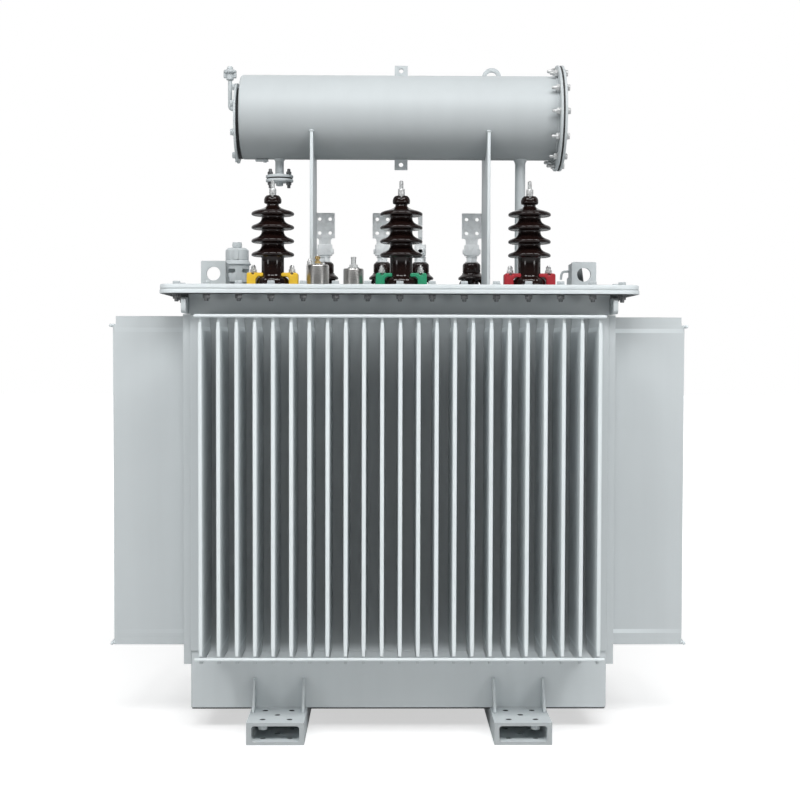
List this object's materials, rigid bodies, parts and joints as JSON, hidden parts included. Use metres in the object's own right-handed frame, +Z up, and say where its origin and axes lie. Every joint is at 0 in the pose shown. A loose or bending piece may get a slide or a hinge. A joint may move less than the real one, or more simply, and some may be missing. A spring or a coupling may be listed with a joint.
{
  "type": "oil-filled distribution power transformer",
  "caption": "Light grey oil-filled power transformer with corrugated fin walls, tall brown bushings with coloured clamps, a round conservator on top and box-section skids.",
  "frame": {"origin": "centre of the footprint on the floor under the skids", "axes": "+X along the tank to the right, +Y from the high-voltage side to the low-voltage side, +Z up"},
  "size_m": [1.612, 0.906, 1.88],
  "materials": {
    "grey_paint": "semi-gloss light grey",
    "gasket_rubber": "matte black",
    "brown_porcelain": "glossy dark brown glaze",
    "zinc_plate": "zinc plated",
    "tinned_metal": "tinned, matte",
    "stainless": "polished stainless",
    "yellow_paint": "glossy yellow",
    "green_paint": "glossy green",
    "red_paint": "glossy red"
  },
  "bodies": {
    "root": {"left_skid": "grey_paint", "right_skid": "grey_paint", "skid_gussets": "grey_paint", "tank_body": "grey_paint", "tank_upper_frame": "grey_paint", "cover_gasket": "grey_paint", "cover_plate": "grey_paint", "front_fin_panel": "grey_paint", "rear_fin_panel": "grey_paint", "left_fin_panel": "grey_paint", "right_fin_panel": "grey_paint", "front_fin_rods": "grey_paint", "rear_fin_rods": "grey_paint", "left_fin_rods": "grey_paint", "right_fin_rods": "grey_paint", "corner_tabs": "grey_paint", "left_lifting_lug": "grey_paint", "right_lifting_lug": "grey_paint", "hv_bushings": "brown_porcelain", "hv_terminals": "zinc_plate", "hv_clamps_left": "yellow_paint", "hv_clamps_middle": "green_paint", "hv_clamps_right": "red_paint", "lv_bushings": "brown_porcelain", "lv_terminals": "tinned_metal", "tap_changer_body": "grey_paint", "tap_changer_hood": "grey_paint", "thermometer_pocket": "stainless", "relief_valve": "stainless", "conservator_shell": "grey_paint", "conservator_ring": "grey_paint", "conservator_end_gasket": "gasket_rubber", "conservator_end_cover": "grey_paint", "conservator_left_gasket": "gasket_rubber", "conservator_left_plate": "grey_paint", "vent_pipe": "grey_paint", "left_saddle": "grey_paint", "right_saddle": "grey_paint", "oil_pipe": "grey_paint", "breather_stub": "grey_paint", "breather_gasket": "gasket_rubber", "breather_blank": "grey_paint", "conservator_lugs": "grey_paint"}
  },
  "joints": []
}
